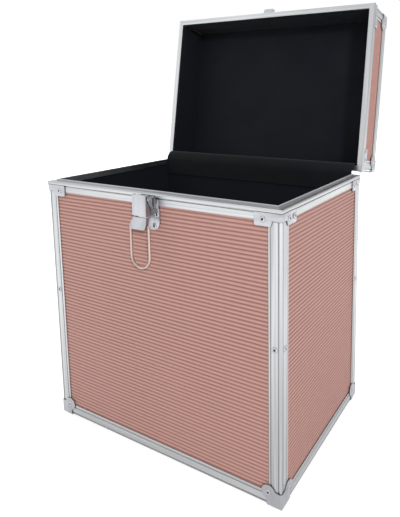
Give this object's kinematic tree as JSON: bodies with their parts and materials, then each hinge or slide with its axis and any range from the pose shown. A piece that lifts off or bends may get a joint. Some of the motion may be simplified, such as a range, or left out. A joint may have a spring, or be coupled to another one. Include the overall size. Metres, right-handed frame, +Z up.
{
  "type": "record carrying case",
  "caption": "Lidded carrying case for 12 inch records: ribbed panels in an aluminium frame with riveted corners, hinged lid, draw latch and folding handle.",
  "frame": {"origin": "on the ground, midway between the four feet, under the middle of the body", "axes": "+Z up, -Y the front with the latch, +X the right side seen from the front; the lid stands open"},
  "size_m": [0.3446, 0.3617, 0.5687],
  "materials": {
    "plywood": "raw",
    "rose_sheet": "satin, finely ribbed",
    "lining": "short black pile",
    "cover_strip": "black cloth",
    "frame_aluminium": "satin anodised",
    "hardware": "nickel plated",
    "rivets": "nickel plated",
    "pins": "plated",
    "bail_wire": "nickel plated",
    "handle_plastic": "fine grain",
    "foot_rubber": "matt"
  },
  "bodies": {
    "case_body": {"front_board": "plywood", "right_board": "plywood", "back_board": "plywood", "left_board": "plywood", "base_board": "plywood", "front_skin": "rose_sheet", "right_skin": "rose_sheet", "back_skin": "rose_sheet", "left_skin": "rose_sheet", "base_skin": "rose_sheet", "wall_linings": "lining", "floor_lining": "lining", "corner_profile_front_right": "frame_aluminium", "corner_profile_back_right": "frame_aluminium", "corner_profile_back_left": "frame_aluminium", "corner_profile_front_left": "frame_aluminium", "base_edge_front": "frame_aluminium", "base_edge_right": "frame_aluminium", "base_edge_back": "frame_aluminium", "base_edge_left": "frame_aluminium", "rim_front": "frame_aluminium", "rim_right": "frame_aluminium", "rim_back": "frame_aluminium", "rim_left": "frame_aluminium", "base_corner_caps": "hardware", "rim_corner_brackets": "hardware", "body_rivets": "rivets", "latch_base": "hardware", "latch_rivets": "rivets", "latch_pin": "pins", "hinge_body_leaves": "hardware", "hinge_pins": "pins", "hinge_cover": "cover_strip", "feet": "foot_rubber", "foot_screws": "pins"},
    "lid": {"lid_side_boards": "plywood", "lid_top_board": "plywood", "lid_side_skins": "rose_sheet", "lid_top_skin": "rose_sheet", "lid_linings": "lining", "lid_corner_profiles": "frame_aluminium", "lid_edge_front": "frame_aluminium", "lid_edge_right": "frame_aluminium", "lid_edge_back": "frame_aluminium", "lid_edge_left": "frame_aluminium", "lid_rim_front": "frame_aluminium", "lid_rim_right": "frame_aluminium", "lid_rim_back": "frame_aluminium", "lid_rim_left": "frame_aluminium", "lid_corner_caps": "hardware", "lid_rim_brackets": "hardware", "lid_rivets": "rivets", "lid_catch": "hardware", "hinge_lid_leaves": "hardware", "handle_brackets": "hardware", "handle_pins": "pins"},
    "lever": {"latch_lever": "hardware"},
    "bail": {"latch_bail": "bail_wire"},
    "handle": {"handle_grip": "handle_plastic"}
  },
  "joints": [
    {"name": "lid_hinge", "type": "hinge", "parent": "case_body", "child": "lid", "pos_m": [0, 0.1206, 0.3282], "axis": [1, 0, 0], "range_deg": [0, 100], "deforming": ["hinge_cover"]},
    {"name": "latch_lever", "type": "hinge", "parent": "case_body", "child": "lever", "pos_m": [0, -0.127, 0.324], "axis": [-1, 0, 0], "range_deg": [0, 155]},
    {"name": "latch_bail", "type": "hinge", "parent": "lever", "child": "bail", "pos_m": [0, -0.131, 0.294], "axis": [-1, 0, 0], "range_deg": [0, 194]},
    {"name": "handle_fold", "type": "hinge", "parent": "lid", "child": "handle", "pos_m": [0, 0.21363, 0.43426], "axis": [1, 0, 0], "range_deg": [-8, 168]}
  ]
}
